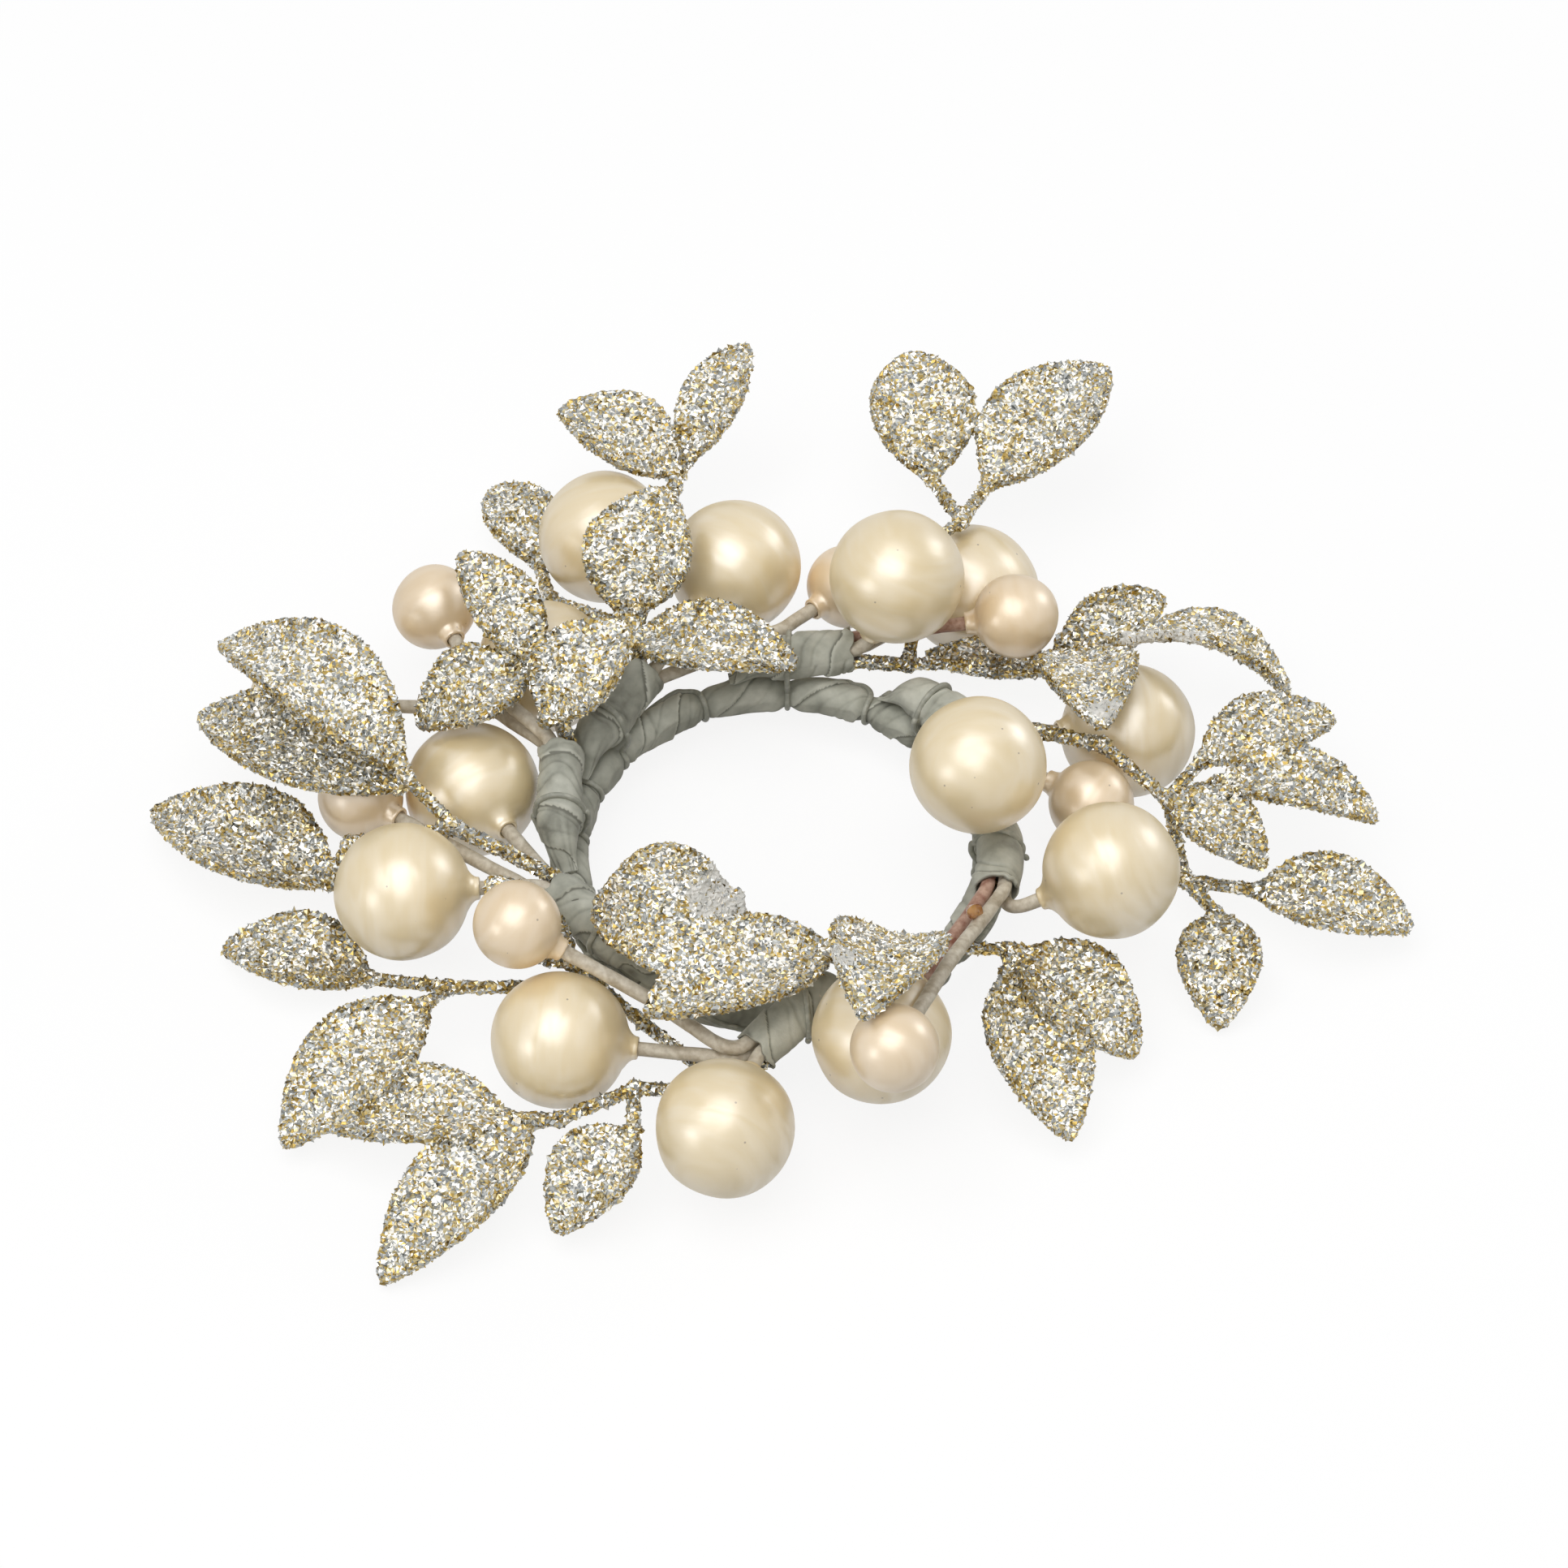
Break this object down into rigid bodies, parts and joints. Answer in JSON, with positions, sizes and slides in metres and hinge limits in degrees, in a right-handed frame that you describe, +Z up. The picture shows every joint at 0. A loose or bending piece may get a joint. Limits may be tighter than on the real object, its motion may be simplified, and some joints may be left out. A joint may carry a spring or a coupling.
{
  "type": "candle ring",
  "caption": "Small wreath of pearl berries and glitter leaves, bound with wire to a taped hoop, slipped over a dinner candle to dress its foot",
  "frame": {"origin": "centre of the candle hole, on the hoop's mid-plane", "axes": "Z up along the candle, X to the right and Y to the back of the pictured ring"},
  "size_m": [0.0692, 0.0609, 0.0148],
  "materials": {
    "hoop_steel": "bare drawn wire, hidden in the tape",
    "crepe_tape": "grey-green crepe paper tape, matt and creased",
    "binding_wire": "grey-green painted binding wire",
    "large_pearl": "champagne pearl lacquer on a foam ball",
    "small_pearl": "peach pearl lacquer on a foam ball",
    "paper_stem": "pale paper wound on thin wire",
    "glitter_leaf": "clear moulded plastic covered with champagne glitter flakes"
  },
  "bodies": {
    "root": {"back_left_pick_large_pearl_a": "large_pearl", "back_left_pick_large_pearl_a_stem": "paper_stem", "back_left_pick_large_pearl_b": "large_pearl", "back_left_pick_large_pearl_b_stem": "paper_stem", "back_left_pick_leaf_spray": "glitter_leaf", "back_left_pick_small_pearl": "small_pearl", "back_left_pick_small_pearl_stem": "paper_stem", "back_left_pick_tape": "crepe_tape", "back_pick_large_pearl_a": "large_pearl", "back_pick_large_pearl_a_stem": "paper_stem", "back_pick_large_pearl_b": "large_pearl", "back_pick_large_pearl_b_stem": "paper_stem", "back_pick_leaf_spray": "glitter_leaf", "back_pick_small_pearl": "small_pearl", "back_pick_small_pearl_stem": "paper_stem", "back_pick_tape": "crepe_tape", "back_right_pick_large_pearl_a": "large_pearl", "back_right_pick_large_pearl_a_stem": "paper_stem", "back_right_pick_large_pearl_b": "large_pearl", "back_right_pick_large_pearl_b_stem": "paper_stem", "back_right_pick_leaf_spray": "glitter_leaf", "back_right_pick_small_pearl": "small_pearl", "back_right_pick_small_pearl_stem": "paper_stem", "back_right_pick_tape": "crepe_tape", "binding_wire": "binding_wire", "front_left_pick_large_pearl_a": "large_pearl", "front_left_pick_large_pearl_a_stem": "paper_stem", "front_left_pick_large_pearl_b": "large_pearl", "front_left_pick_large_pearl_b_stem": "paper_stem", "front_left_pick_leaf_spray": "glitter_leaf", "front_left_pick_small_pearl": "small_pearl", "front_left_pick_small_pearl_stem": "paper_stem", "front_left_pick_tape": "crepe_tape", "front_pick_large_pearl_a": "large_pearl", "front_pick_large_pearl_a_stem": "paper_stem", "front_pick_large_pearl_b": "large_pearl", "front_pick_large_pearl_b_stem": "paper_stem", "front_pick_leaf_spray": "glitter_leaf", "front_pick_small_pearl": "small_pearl", "front_pick_small_pearl_stem": "paper_stem", "front_pick_tape": "crepe_tape", "hoop_tape": "crepe_tape", "hoop_wire": "hoop_steel", "left_pick_large_pearl_a": "large_pearl", "left_pick_large_pearl_a_stem": "paper_stem", "left_pick_large_pearl_b": "large_pearl", "left_pick_large_pearl_b_stem": "paper_stem", "left_pick_leaf_spray": "glitter_leaf", "left_pick_small_pearl": "small_pearl", "left_pick_small_pearl_stem": "paper_stem", "left_pick_tape": "crepe_tape", "right_pick_large_pearl_a": "large_pearl", "right_pick_large_pearl_a_stem": "paper_stem", "right_pick_large_pearl_b": "large_pearl", "right_pick_large_pearl_b_stem": "paper_stem", "right_pick_leaf_spray": "glitter_leaf", "right_pick_small_pearl": "small_pearl", "right_pick_small_pearl_stem": "paper_stem", "right_pick_tape": "crepe_tape"}
  },
  "joints": []
}
